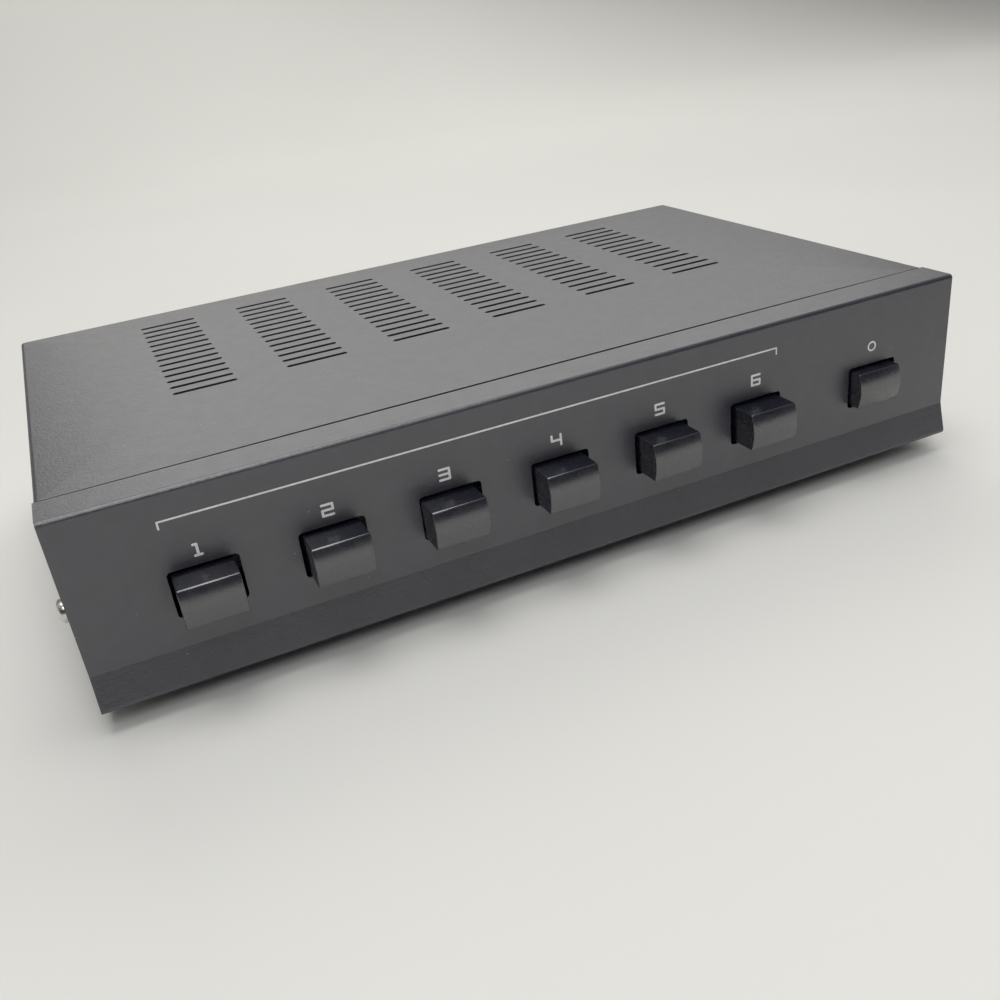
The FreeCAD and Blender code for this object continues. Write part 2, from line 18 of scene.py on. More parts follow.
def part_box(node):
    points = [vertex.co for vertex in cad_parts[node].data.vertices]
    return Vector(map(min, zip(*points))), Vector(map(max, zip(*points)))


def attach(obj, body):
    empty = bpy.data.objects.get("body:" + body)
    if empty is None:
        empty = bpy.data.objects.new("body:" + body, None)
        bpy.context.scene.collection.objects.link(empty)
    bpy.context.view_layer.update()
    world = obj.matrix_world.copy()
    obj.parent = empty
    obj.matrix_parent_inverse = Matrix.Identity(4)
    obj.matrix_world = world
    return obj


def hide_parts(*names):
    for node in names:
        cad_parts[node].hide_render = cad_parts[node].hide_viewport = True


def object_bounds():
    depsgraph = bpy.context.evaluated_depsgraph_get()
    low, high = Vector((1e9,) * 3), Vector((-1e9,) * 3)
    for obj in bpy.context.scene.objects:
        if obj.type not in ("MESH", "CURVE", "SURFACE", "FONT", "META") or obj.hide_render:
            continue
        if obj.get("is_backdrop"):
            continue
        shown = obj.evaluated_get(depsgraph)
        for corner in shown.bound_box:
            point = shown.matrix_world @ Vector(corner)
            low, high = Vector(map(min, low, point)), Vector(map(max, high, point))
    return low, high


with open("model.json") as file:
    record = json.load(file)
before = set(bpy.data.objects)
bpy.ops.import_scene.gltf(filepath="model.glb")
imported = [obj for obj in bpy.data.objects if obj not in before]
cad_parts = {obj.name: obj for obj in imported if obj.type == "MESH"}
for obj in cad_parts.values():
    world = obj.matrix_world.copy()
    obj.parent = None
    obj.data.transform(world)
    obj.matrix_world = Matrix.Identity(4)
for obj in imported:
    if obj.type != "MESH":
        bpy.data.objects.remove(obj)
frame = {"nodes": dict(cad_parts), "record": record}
nodes = frame["nodes"]
cad_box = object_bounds()
mm = 0.001
print("nodes", len(nodes), "box", [round(c / mm, 1) for corner in cad_box for c in corner])

# %% [markdown]
# Where things are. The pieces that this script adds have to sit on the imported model, so the places
# are read from the nodes' boxes and not typed again. The cover's sides start two sheets behind the
# front panel's face, and its rear lip hangs one sheet and a gap behind the rear panel.

# %% Read the places of the case
cover_low, cover_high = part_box("top_cover")
button_names = [f"button_{n}" for n in range(1, 7)] + ["protection_button"]
terminal_names = ["input"] + [f"output_{n}" for n in range(1, 7)]
pole_names = ["left_plus", "left_minus", "right_plus", "right_minus"]
cover_setback = 2.0 * mm
rear_lip_stand = 1.2 * mm
front_face = cover_low.y - cover_setback
rear_face = cover_high.y - rear_lip_stand


def box_middle(node):
    """The middle of a node's box."""
    low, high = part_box(node)
    return (low + high) / 2


print("front panel at y", round(front_face / mm, 2), "rear panel at y", round(rear_face / mm, 2))

# %% [markdown]
# The camera. The photograph was taken from above the left front corner with a fairly wide lens,
# near enough that the case's edges run together. Its place, its three angles and its focal length
# come from matching the case's corners to the picture. The camera leans a little, so a third angle
# rolls it about its own line of sight.

# %% Set up the camera
camera_place = Vector((-0.118317, -0.323090, 0.163521))
camera_turn = math.radians(21.293)
camera_pitch = math.radians(27.077)
camera_roll = math.radians(-7.072)
camera_lens = 36.336

ahead = Vector((math.sin(camera_turn) * math.cos(camera_pitch),
                math.cos(camera_turn) * math.cos(camera_pitch),
                -math.sin(camera_pitch)))
level_right = Vector((math.cos(camera_turn), -math.sin(camera_turn), 0))
level_up = level_right.cross(ahead)
right = level_right * math.cos(camera_roll) + level_up * math.sin(camera_roll)
up = level_up * math.cos(camera_roll) - level_right * math.sin(camera_roll)
camera_data = bpy.data.cameras.new("camera")
camera_data.lens = camera_lens
camera_data.sensor_width = 36
camera_data.clip_start = 0.01
camera = bpy.data.objects.new("camera", camera_data)
bpy.context.scene.collection.objects.link(camera)
axes = Matrix((right, up, -ahead)).transposed().to_4x4()
camera.matrix_world = Matrix.Translation(camera_place) @ axes
bpy.context.scene.camera = camera
bpy.context.scene.view_settings.view_transform = "Standard"
print("camera", round((camera_place - box_middle("chassis")).length, 3), "m from the case")

# %% [markdown]
# Helpers for modelling. Blender's operators act on whatever is selected, so each step first clears
# the selection and then picks its faces, edges or points by where they are. A finished piece keeps
# its place in its mesh and its object at the origin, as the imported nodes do.

# %% Define the modelling helpers
def take(piece):
    """Selects one object alone and makes it active."""
    bpy.ops.object.select_all(action="DESELECT")
    piece.select_set(True)
    bpy.context.view_layer.objects.active = piece
    return piece


def settle(piece):
    """Moves the object's place, turn and scale into its mesh."""
    take(piece)
    bpy.ops.object.transform_apply(location=True, rotation=True, scale=True)
    return piece


def start_block(name, size, middle):
    """A block of a given size, ready to be shaped."""
    bpy.ops.object.select_all(action="DESELECT")
    bpy.ops.mesh.primitive_cube_add(size=1, location=middle, scale=size)
    piece = bpy.context.active_object
    piece.name = name
    return settle(piece)


def edit(piece):
    """Opens the piece's mesh for editing with nothing selected."""
    take(piece)
    bpy.ops.object.mode_set(mode="EDIT")
    bpy.ops.mesh.select_all(action="DESELECT")


def pick(piece, kind, wanted):
    """In edit mode, selects the faces, edges or points that pass a test."""
    bpy.ops.mesh.select_mode(type=kind)
    bpy.ops.mesh.select_all(action="DESELECT")
    shape = bmesh.from_edit_mesh(piece.data)
    parts = {"FACE": shape.faces, "EDGE": shape.edges, "VERT": shape.verts}[kind]
    found = [part for part in parts if wanted(part)]
    for part in found:
        part.select_set(True)
    shape.select_flush_mode()
    bmesh.update_edit_mesh(piece.data)
    return len(found)


print("modelling helpers: take, settle, start_block, edit, pick")

# %% [markdown]
# More helpers. After its shaping a piece leaves edit mode and is smoothed, a modifier may finish
# it, and what repeats on the object is copied, each copy with its own mesh. Two more settle what
# counts as the same length, and which faces count as square on to an axis.

# %% Define the finishing and copying helpers
square_on = 0.9


def close(piece, angle=35):
    """Leaves edit mode and smooths all edges flatter than the angle."""
    bpy.ops.object.mode_set(mode="OBJECT")
    take(piece)
    bpy.ops.object.shade_smooth_by_angle(angle=math.radians(angle))
    return piece


def apply_modifier(piece, kind, **settings):
    """Adds a modifier, sets it up and applies it."""
    take(piece)
    modifier = piece.modifiers.new(kind.lower(), kind)
    for setting, value in settings.items():
        setattr(modifier, setting, value)
    bpy.ops.object.modifier_apply(modifier=modifier.name)
    return piece


def copy_to(piece, name, offset):
    """A copy with its own mesh, moved in that mesh."""
    twin = piece.copy()
    twin.data = piece.data.copy()
    twin.name = name
    bpy.context.scene.collection.objects.link(twin)
    twin.data.transform(Matrix.Translation(offset))
    return twin


def discard(piece):
    """Removes the model that the copies were made from."""
    bpy.data.objects.remove(piece)


def near(value, target, slack=0.02 * mm):
    """True when two lengths are the same for all practical purposes."""
    return abs(value - target) < slack


print("a face is square on to an axis when its normal reaches", square_on, "along it")

# %% [markdown]
# Helpers for finishes. Every finish is one Principled shader whose plain values are set on its own
# sockets. What makes it look real is then added in steps: noise that varies the colour, noise that
# varies the roughness, and bump for grain. All patterns read Object coordinates, which are the
# frame's own metres here, so a scale of 1000 gives one cell for each millimetre.

# %% Define the finish helpers
def new_finish(name, colour, roughness, metallic=0.0, specular=0.5, ior=1.5):
    """A Principled material with its plain values set."""
    finish = bpy.data.materials.new(name)
    finish.use_nodes = True
    shader = finish.node_tree.nodes["Principled BSDF"]
    shader.inputs["Base Color"].default_value = (*colour, 1)
    shader.inputs["Roughness"].default_value = roughness
    shader.inputs["Metallic"].default_value = metallic
    shader.inputs["Specular IOR Level"].default_value = specular
    shader.inputs["IOR"].default_value = ior
    return finish


def add_node(finish, kind, **inputs):
    """A node with its sockets set by name."""
    node = finish.node_tree.nodes.new(kind)
    for socket, value in inputs.items():
        node.inputs[socket.replace("_", " ")].default_value = value
    return node


def join(finish, source, target):
    """A link from one socket to another."""
    finish.node_tree.links.new(source, target)


def place_on(finish, stretch=(1, 1, 1)):
    """Object coordinates, stretched along an axis where the pattern has a direction."""
    place = add_node(finish, "ShaderNodeTexCoord")
    mapping = add_node(finish, "ShaderNodeMapping", Scale=stretch)
    join(finish, place.outputs["Object"], mapping.inputs["Vector"])
    return mapping.outputs["Vector"]


def noise(finish, scale, detail=3, stretch=(1, 1, 1)):
    """Soft random values over the surface."""
    node = add_node(finish, "ShaderNodeTexNoise", Scale=scale, Detail=detail)
    join(finish, place_on(finish, stretch), node.inputs["Vector"])
    return node.outputs["Fac"]


def spread(finish, value, low, high, start=0.35, end=0.65):
    """Maps the middle part of a noise to a range of values."""
    node = add_node(finish, "ShaderNodeMapRange", From_Min=start, From_Max=end,
                    To_Min=low, To_Max=high)
    join(finish, value, node.inputs["Value"])
    return node.outputs["Result"]


print("pattern helpers: place_on, noise, spread")

# %% [markdown]
# Leading patterns to the shader. A noise alone is grey, so it mixes two close colours, shifts the
# roughness between two values, or becomes the height of a bump. Bumps are stacked, each on the
# normal of the one below.

# %% Define how a pattern reaches the shader
def blend_colours(finish, factor, first, second):
    """Mixes two colours; the first may be a socket that already carries a pattern."""
    node = finish.node_tree.nodes.new("ShaderNodeMix")
    node.data_type = "RGBA"
    join(finish, factor, node.inputs[0])
    if hasattr(first, "is_linked"):
        join(finish, first, node.inputs[6])
    else:
        node.inputs[6].default_value = (*first, 1)
    node.inputs[7].default_value = (*second, 1)
    return node.outputs[2]


def set_colour(finish, socket):
    """Leads a pattern to the shader's colour."""
    join(finish, socket, finish.node_tree.nodes["Principled BSDF"].inputs["Base Color"])


def set_roughness(finish, value, low, high):
    """Leads a noise to the shader's roughness."""
    shader = finish.node_tree.nodes["Principled BSDF"]
    join(finish, spread(finish, value, low, high), shader.inputs["Roughness"])


def set_grain(finish, *layers):
    """Bump in layers, each a height pattern with its strength and its depth in metres."""
    below = None
    for height, strength, depth in layers:
        bump = add_node(finish, "ShaderNodeBump", Strength=strength, Distance=depth)
        join(finish, height, bump.inputs["Height"])
        if below:
            join(finish, below, bump.inputs["Normal"])
        below = bump.outputs["Normal"]
    join(finish, below, finish.node_tree.nodes["Principled BSDF"].inputs["Normal"])


print("shader helpers: blend_colours, set_colour, set_roughness, set_grain")

# %% [markdown]
# Dust. A few pale specks make a dark surface look real. A Voronoi pattern has one point in each
# cell: a dot is what lies near that point, and the cell's random colour decides which few dots are
# kept.

# %% Define the dust specks and the dressing of a node
def specks(finish, scale, size, share):
    """1 on small scattered dots and 0 elsewhere. Size is in cells, share is the part kept."""
    cells = add_node(finish, "ShaderNodeTexVoronoi", Scale=scale)
    join(finish, place_on(finish), cells.inputs["Vector"])
    dot = finish.node_tree.nodes.new("ShaderNodeMath")
    dot.operation = "LESS_THAN"
    join(finish, cells.outputs["Distance"], dot.inputs[0])
    dot.inputs[1].default_value = size
    split = finish.node_tree.nodes.new("ShaderNodeSeparateColor")
    join(finish, cells.outputs["Color"], split.inputs["Color"])
    chosen = finish.node_tree.nodes.new("ShaderNodeMath")
    chosen.operation = "LESS_THAN"
    join(finish, split.outputs["Red"], chosen.inputs[0])
    chosen.inputs[1].default_value = share
    both = finish.node_tree.nodes.new("ShaderNodeMath")
    both.operation = "MULTIPLY"
    join(finish, dot.outputs["Value"], both.inputs[0])
    join(finish, chosen.outputs["Value"], both.inputs[1])
    return both.outputs["Value"]


def dress(node, finish):
    """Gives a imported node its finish, without touching its mesh."""
    nodes[node].data.materials.clear()
    nodes[node].data.materials.append(finish)


print("dust helper: specks; node helper: dress")

# %% [markdown]
# The floor. A studio table is a sheet of pale paper that rises behind the object in a wide curve,
# so no edge shows between table and wall. It is made from a plane whose rear edge is extruded up,
# and the fold is then bevelled into the curve.

# %% Make the paper sweep
sweep_width = 6.0
sweep_depth = 4.0
sweep_front = -2.2
sweep_rise = 2.6
sweep_curve = 0.9
sweep_segments = 24
sweep_smooth = 60
paper_colour = (0.8, 0.794, 0.765)
paper_tones = ((0.79, 0.784, 0.755), (0.81, 0.804, 0.775))
paper_grain_depth = 0.1 * mm
bpy.ops.object.select_all(action="DESELECT")
bpy.ops.mesh.primitive_plane_add(size=1, location=(0, sweep_front + sweep_depth / 2, 0))
sweep = bpy.context.active_object
sweep.name = "paper_sweep"
bpy.ops.transform.resize(value=(sweep_width, sweep_depth, 1))
settle(sweep)
rear_line = max(vertex.co.y for vertex in sweep.data.vertices)
edit(sweep)
pick(sweep, "EDGE", lambda e: all(near(v.co.y, rear_line) for v in e.verts))
bpy.ops.mesh.extrude_region_move(TRANSFORM_OT_translate={"value": (0, 0, sweep_rise)})
pick(sweep, "EDGE", lambda e: all(near(v.co.y, rear_line) and near(v.co.z, 0) for v in e.verts))
bpy.ops.mesh.bevel(offset=sweep_curve, segments=sweep_segments, affect="EDGES")
close(sweep, sweep_smooth)
paper = new_finish("warm_pale_paper", paper_colour, 0.85, specular=0.25)
paper_clouds = spread(paper, noise(paper, 3, 2), 0, 1)
set_colour(paper, blend_colours(paper, paper_clouds, *paper_tones))
set_grain(paper, (noise(paper, 900, 2), 0.05, paper_grain_depth))
sweep.data.materials.append(paper)
sweep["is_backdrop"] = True
print("sweep", [round(side, 2) for side in sweep.dimensions])

# %% [markdown]
# The light. A dark glossy object is lit by what it mirrors, so the lamps are placed by angle. The
# camera looks down at about 27 degrees: the top then mirrors what stands behind it at the same
# angle, so a wide softbox goes there and turns the black top mid grey. The front mirrors the pale
# table. A softbox overhead lays the short shadow under the case and lights the fold, and one in
# front lights the print. The overhead one is wide enough that the caps throw no shapes of their
# own onto the table. The lamps show in reflections but not to the camera.

# %% Hang the softboxes
def softbox(name, place, aim, width, height, brightness, colour):
    """A rectangular soft light that faces a point. A brightness of 1 mirrors as plain white."""
    data = bpy.data.lights.new(name, "AREA")
    data.shape = "RECTANGLE"
    data.size = width
    data.size_y = height
    data.energy = brightness * math.pi * width * height
    data.color = colour
    lamp = bpy.data.objects.new(name, data)
    bpy.context.scene.collection.objects.link(lamp)
    away = (Vector(place) - Vector(aim)).normalized()
    turn = away.to_track_quat("Z", "Y").to_matrix().to_4x4()
    lamp.matrix_world = Matrix.Translation(place) @ turn
    lamp.visible_camera = False
    return lamp


aim = (0, 0, 0.03)
softboxes = (
    ("rear_softbox", (0.45, 1.15, 0.95), (1.7, 1.0), 1.65, (1, 0.985, 0.945)),
    ("overhead_softbox", (-0.05, -0.05, 1.35), (0.8, 0.8), 3.83, (1, 0.99, 0.965)),
    ("front_softbox", (-0.15, -0.8, 0.9), (0.5, 0.5), 4.2, (0.96, 0.98, 1)),
)
for name, place, (width, height), brightness, colour in softboxes:
    softbox(name, place, aim, width, height, brightness, colour)

# %% [markdown]
# The room. What the lamps leave dark is filled by the room's own light. It is brighter behind than
# in front, and that is what gives the bowed caps their gradient. The camera itself sees a plain
# pale grey, which is set through Light Path and adds no light to the object.

# %% Set the room's light
room_turn_start, room_turn_end = -0.7, 0.4
room_tint = (1, 0.995, 0.985, 1)
room_front = 0.06
room_back = 0.5
room_seen = 0.72
world = bpy.data.worlds.new("pale_room")
bpy.context.scene.world = world
world.use_nodes = True
sky = world.node_tree
direction = sky.nodes.new("ShaderNodeTexCoord")
compass = sky.nodes.new("ShaderNodeSeparateXYZ")
room = sky.nodes.new("ShaderNodeMapRange")
room.inputs["From Min"].default_value = room_turn_start
room.inputs["From Max"].default_value = room_turn_end
room.inputs["To Min"].default_value = room_front
room.inputs["To Max"].default_value = room_back
sky.links.new(direction.outputs["Generated"], compass.inputs["Vector"])
sky.links.new(compass.outputs["Y"], room.inputs["Value"])
seen = sky.nodes.new("ShaderNodeLightPath")
choose = sky.nodes.new("ShaderNodeMix")
choose.inputs["B"].default_value = room_seen
sky.links.new(seen.outputs["Is Camera Ray"], choose.inputs["Factor"])
sky.links.new(room.outputs["Result"], choose.inputs["A"])
sky.links.new(choose.outputs["Result"], sky.nodes["Background"].inputs["Strength"])
sky.nodes["Background"].inputs["Color"].default_value = room_tint
print("room", room_front, "in front,", room_back, "behind,", room_seen, "to the camera")

# %% [markdown]
# The case paint. The sheet steel is powder coated in a satin near-black. Powder coat melts into a
# skin that is never quite level, so it shows a fine orange peel, and it picks up dust. Its colour
# is very dark, and most of what the eye sees is the pale room in its shine: that is why the top
# looks mid grey from this low angle while the front looks black. So the base colour stays near
# black, the reflection is made strong, and the roughness sets how soft it is.

# %% Mix the powder coat
coat_colour = (0.0125, 0.0125, 0.027)
coat_tones = ((0.01, 0.01, 0.0235), (0.0155, 0.0155, 0.0305))
dust_colour = (0.34, 0.34, 0.33)
coat_shine = (0.375, 0.405)
peel_scale, peel_strength, peel_depth = 1500, 0.9, 0.1 * mm
wave_scale, wave_strength, wave_depth = 620, 0.6, 0.08 * mm
dust_cells, dust_size, dust_share = 330, 0.05, 0.16
powder_coat = new_finish("satin_powder_coat", coat_colour, 0.39, ior=2.05)
clouds = spread(powder_coat, noise(powder_coat, 260, 5), 0, 1)
tone = blend_colours(powder_coat, clouds, *coat_tones)
dust = specks(powder_coat, dust_cells, dust_size, dust_share)
set_colour(powder_coat, blend_colours(powder_coat, dust, tone, dust_colour))
set_roughness(powder_coat, noise(powder_coat, 220, 5), *coat_shine)
set_grain(powder_coat, (noise(powder_coat, peel_scale, 2), peel_strength, peel_depth),
          (noise(powder_coat, wave_scale, 2), wave_strength, wave_depth))
print("mixed", powder_coat.name)

# %% [markdown]
# The seam. The cover's front edge is bowed back from the panel's lip, so the gap between them is
# widest in the middle and reads as a black line across the top. The bow is under a millimetre, and
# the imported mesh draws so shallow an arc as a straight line. So the arc is cut into a copy of the
# cover. The cutter is a long thin block, a little deeper than the sheet: it is divided along its
# length, and the points of its rear edge are moved back along the curve.

# %% Shape the seam's cutter
lip_depth = 13.0 * mm
seam_gap, seam_bow = 0.3 * mm, 0.8 * mm
cutter_ahead, cutter_below, cutter_above = 1.0 * mm, 1.1 * mm, 1.0 * mm
cutter_cuts = 31
cover_half = cover_high.x
seam_front = front_face + lip_depth
cutter_front, cutter_rear = seam_front - cutter_ahead, seam_front + seam_gap
cutter_low, cutter_high = cover_high.z - cutter_below, cover_high.z + cutter_above
cutter_size = (2 * cover_half, cutter_rear - cutter_front, cutter_high - cutter_low)
cutter_middle = (0, (cutter_front + cutter_rear) / 2, (cutter_low + cutter_high) / 2)
cutter = start_block("seam_cutter", cutter_size, cutter_middle)
edit(cutter)
pick(cutter, "EDGE", lambda e: abs(e.verts[0].co.x - e.verts[1].co.x) > cover_half)
bpy.ops.mesh.subdivide(number_cuts=cutter_cuts)
for column in range(cutter_cuts + 2):
    across = cover_half * (2 * column / (cutter_cuts + 1) - 1)
    pick(cutter, "VERT", lambda v: near(v.co.x, across) and near(v.co.y, cutter_rear))
    bpy.ops.transform.translate(value=(0, seam_bow * (1 - (across / cover_half) ** 2), 0))
close(cutter)
print("cutter", [round(side / mm, 2) for side in cutter.dimensions])

# %% [markdown]
# Cutting the seam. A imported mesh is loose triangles, which a boolean can't cut cleanly, so the
# copy's points are merged first and its stored normals are cleared. The copy then stands for the
# cover, and the edge's place in the middle is printed, to show that the arc is there.

# %% Cut the seam into a copy of the cover
weld_distance = 0.002 * mm
cover_smooth = 30
middle_span = 6 * mm
cover = bpy.data.objects.new("cover_open_seam", nodes["top_cover"].data.copy())
bpy.context.scene.collection.objects.link(cover)
take(cover)
bpy.ops.mesh.customdata_custom_splitnormals_clear()
edit(cover)
bpy.ops.mesh.select_all(action="SELECT")
bpy.ops.mesh.remove_doubles(threshold=weld_distance)
close(cover, cover_smooth)
apply_modifier(cover, "BOOLEAN", operation="DIFFERENCE", solver="EXACT", object=cutter)
discard(cutter)
take(cover)
bpy.ops.object.shade_smooth_by_angle(angle=math.radians(cover_smooth))
cover.data.materials.clear()
cover.data.materials.append(powder_coat)
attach(cover, "case")
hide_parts("top_cover")
middle_edge = min(v.co.y for v in cover.data.vertices
                  if abs(v.co.x) < middle_span and v.co.z > cutter_low)
middle_gap = (middle_edge - seam_front) / mm
print("cover faces", len(cover.data.polygons), "gap in the middle", round(middle_gap, 2))

# %% [markdown]
# The push caps. Each is a small moulded block with a hollow back. Its front face is bowed from top
# to bottom, so it catches a gradient, and its edges are only just broken, which gives the thin
# bright line along the top. It is modelled once from a block, whose front's upright edges are
# divided and the rows pushed forward along an arc.

# %% Start one push cap and bow its front
cap_low, cap_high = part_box("button_1_cap")
cap_size = cap_high - cap_low
cap_middle = (cap_low + cap_high) / 2
cap_bulge = 1.3 * mm
cap_rows = 12
cap_edge, cap_edge_segments = 0.32 * mm, 3
cap_wall = 1.4 * mm
cap_front_wall = 3.0 * mm
cap_smooth = 32
half_height = cap_size.z / 2
cap_block = Vector((cap_size.x, cap_size.y - cap_bulge, cap_size.z))
cap_front = cap_low.y + cap_bulge

cap = start_block("cap_model", cap_block, cap_middle + Vector((0, cap_bulge / 2, 0)))
edit(cap)
pick(cap, "EDGE", lambda e: all(near(v.co.y, cap_front) for v in e.verts)
     and abs(e.verts[0].co.z - e.verts[1].co.z) > half_height)
bpy.ops.mesh.subdivide(number_cuts=cap_rows - 1)
for row in range(1, cap_rows):
    height = -half_height + cap_size.z * row / cap_rows
    pick(cap, "VERT", lambda v: near(v.co.y, cap_front) and near(v.co.z, cap_middle.z + height))
    bow = cap_bulge * (1 - (height / half_height) ** 2)
    bpy.ops.transform.translate(value=(0, -bow, 0))
print("cap rows", cap_rows, "bowed by", round(cap_bulge / mm, 2))

# %% [markdown]
# The cap's edges and back. The front rim and the four long edges are bevelled in one step, so that
# the three bevels meet cleanly at each corner. The rear face is then inset and pushed in, which
# leaves the thin walls that a moulding has.

# %% Soften the cap's edges and hollow its back
def is_outer_edge(edge):
    """True on the front's rim and on the four long edges that run back from it."""
    first, second = (point.co for point in edge.verts)
    if abs(first.y - second.y) > cap_wall:
        return True
    if max(first.y, second.y) > cap_front + cap_edge:
        return False
    at_side = near(first.x, second.x)
    at_end = all(near(abs(c.z - cap_middle.z), half_height) for c in (first, second))
    return at_side or at_end


print("cap edges to soften", pick(cap, "EDGE", is_outer_edge))
bpy.ops.mesh.bevel(offset=cap_edge, segments=cap_edge_segments, affect="EDGES",
                   clamp_overlap=False)
rear = cap_high.y
pick(cap, "FACE", lambda f: near(f.calc_center_median().y, rear) and f.normal.y > square_on)
bpy.ops.mesh.inset(thickness=cap_wall, depth=0)
hollow_depth = cap_block.y - cap_front_wall
bpy.ops.mesh.extrude_region_move(TRANSFORM_OT_translate={"value": (0, -hollow_depth, 0)})
bpy.ops.mesh.select_all(action="SELECT")
bpy.ops.mesh.normals_make_consistent(inside=False)
close(cap, cap_smooth)
print("cap", [round(s / mm, 2) for s in cap.dimensions], "faces", len(cap.data.polygons))

# %% [markdown]
# The cap plastic is a hard satin black. A mould leaves a very fine spark-eroded grain on it, and
# fingers polish it a little, so its roughness drifts from place to place.

# %% Fit the seven caps
cap_colour = (0.007, 0.0075, 0.016)
cap_tones = ((0.0055, 0.006, 0.013), (0.008, 0.0085, 0.018))
cap_shine = (0.25, 0.29)
spark_scale, spark_strength, spark_depth = 3200, 0.15, 0.01 * mm
lint_colour = (0.22, 0.22, 0.21)
lint_cells, lint_size, lint_share = 420, 0.05, 0.03
cap_plastic = new_finish("satin_black_plastic", cap_colour, 0.27, ior=2.2)
cap_clouds = spread(cap_plastic, noise(cap_plastic, 160, 3), 0, 1)
cap_tone = blend_colours(cap_plastic, cap_clouds, *cap_tones)
lint = specks(cap_plastic, lint_cells, lint_size, lint_share)
set_colour(cap_plastic, blend_colours(cap_plastic, lint, cap_tone, lint_colour))
set_roughness(cap_plastic, noise(cap_plastic, 240, 3), *cap_shine)
set_grain(cap_plastic, (noise(cap_plastic, spark_scale, 1), spark_strength, spark_depth))
cap.data.materials.append(cap_plastic)
for name in button_names:
    node = f"{name}_cap"
    low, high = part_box(node)
    piece = copy_to(cap, f"{name}_push_cap", low - cap_low)
    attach(piece, name)
    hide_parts(node)
discard(cap)
print("caps fitted", len(button_names))

# %% [markdown]
# The plain finishes of what is behind the openings and on the rear: nylon plungers, tinned switch
# cases, plated screws, spring wire, the green board, cement resistors, brass pillars, black and red
# mouldings, contact strip and rubber. Each has its own colour drift, shine and grain at its own
# scale, because even a small screw looks painted on when it is one even grey.

# %% Define the two kinds of small finish
fine_grain = 0.02 * mm


def moulded(name, dark, light, shine, grain_scale, specular=0.5):
    """A moulded plastic: two close tones, a drifting shine and a fine grain."""
    finish = new_finish(name, dark, shine[0], specular=specular)
    drift = spread(finish, noise(finish, 180, 3), 0, 1)
    set_colour(finish, blend_colours(finish, drift, dark, light))
    set_roughness(finish, noise(finish, 260, 3), *shine)
    set_grain(finish, (noise(finish, grain_scale, 2), 0.2, fine_grain))
    return finish


def plated(name, dark, light, shine, stretch=(1, 1, 1)):
    """A bare or plated metal: drawn or turned marks along one axis, and a patchy shine."""
    finish = new_finish(name, light, shine[0], metallic=1.0)
    drift = spread(finish, noise(finish, 420, 4, stretch), 0, 1)
    set_colour(finish, blend_colours(finish, drift, dark, light))
    set_roughness(finish, noise(finish, 700, 3, stretch), *shine)
    set_grain(finish, (noise(finish, 2400, 2, stretch), 0.15, fine_grain))
    return finish


print("finish kinds: moulded, plated")

# %% [markdown]
# The list of small finishes. Each row names the material slot of the record that it belongs to,
# its darker and lighter tone, and the span of its roughness. A moulding also has the scale of its
# grain, and a drawn or rolled metal the axis along which its marks run.

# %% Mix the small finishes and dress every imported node
finishes = {
    "switch_plastic": moulded("milky_nylon", (0.5, 0.49, 0.45),
                              (0.58, 0.57, 0.53), (0.4, 0.5), 1800),
    "switch_case": plated("tinned_steel", (0.42, 0.42, 0.41),
                          (0.6, 0.6, 0.58), (0.28, 0.42), (1, 0.1, 1)),
    "zinc_screw": plated("nickel_plate", (0.5, 0.49, 0.46), (0.72, 0.71, 0.68), (0.16, 0.28)),
    "black_screw": moulded("black_oxide", (0.018, 0.018, 0.019),
                           (0.03, 0.03, 0.031), (0.3, 0.42), 1500, 0.9),
    "spring_steel": plated("spring_wire", (0.4, 0.4, 0.4), (0.58, 0.58, 0.57), (0.25, 0.35)),
    "board": moulded("green_solder_mask", (0.012, 0.07, 0.02),
                     (0.02, 0.1, 0.03), (0.25, 0.35), 700),
    "cement": moulded("white_cement", (0.62, 0.61, 0.57), (0.74, 0.73, 0.69), (0.75, 0.9), 900),
    "standoff_brass": plated("brass", (0.55, 0.38, 0.15), (0.7, 0.52, 0.23), (0.25, 0.38)),
    "terminal_black": moulded("black_moulding", (0.02, 0.02, 0.021),
                              (0.028, 0.028, 0.03), (0.42, 0.55), 1300),
    "lever_red": moulded("red_moulding", (0.42, 0.012, 0.014),
                         (0.5, 0.018, 0.018), (0.22, 0.34), 1600),
    "lever_black": moulded("glossy_black_moulding", (0.014, 0.014, 0.016),
                           (0.02, 0.02, 0.023), (0.22, 0.34), 1600),
    "contact_metal": plated("contact_strip", (0.48, 0.46, 0.4),
                            (0.66, 0.64, 0.58), (0.2, 0.32), (1, 1, 0.1)),
    "foot_rubber": moulded("black_rubber", (0.018, 0.018, 0.018),
                           (0.03, 0.03, 0.03), (0.7, 0.85), 1100),
}
finishes["case_paint"] = powder_coat
finishes["cap_plastic"] = cap_plastic
for part in frame["record"]["subparts"]:
    dress(part["node"], finishes[part["material_slot"]])

# %% [markdown]
# The screws. A pressed screw head is a shallow dome with a cross in it, and it lights up as a
# small arc that a flat disc can't give. One head is shaped from a cylinder: its top is inset and
# raised in steps along a curve, its underside is inset and drawn down into the shank, and two
# crossed wedges cut the recess. Each kind of screw is made once, turned to its panel, and copied
# to its places.

# %% Model a domed screw
dome_steps = (20, 42, 62, 78)
screw_sides = 36
screw_smooth = 40
skirt_share = 0.4
recess_length, recess_width, recess_taper = 1.15, 0.26, 0.55


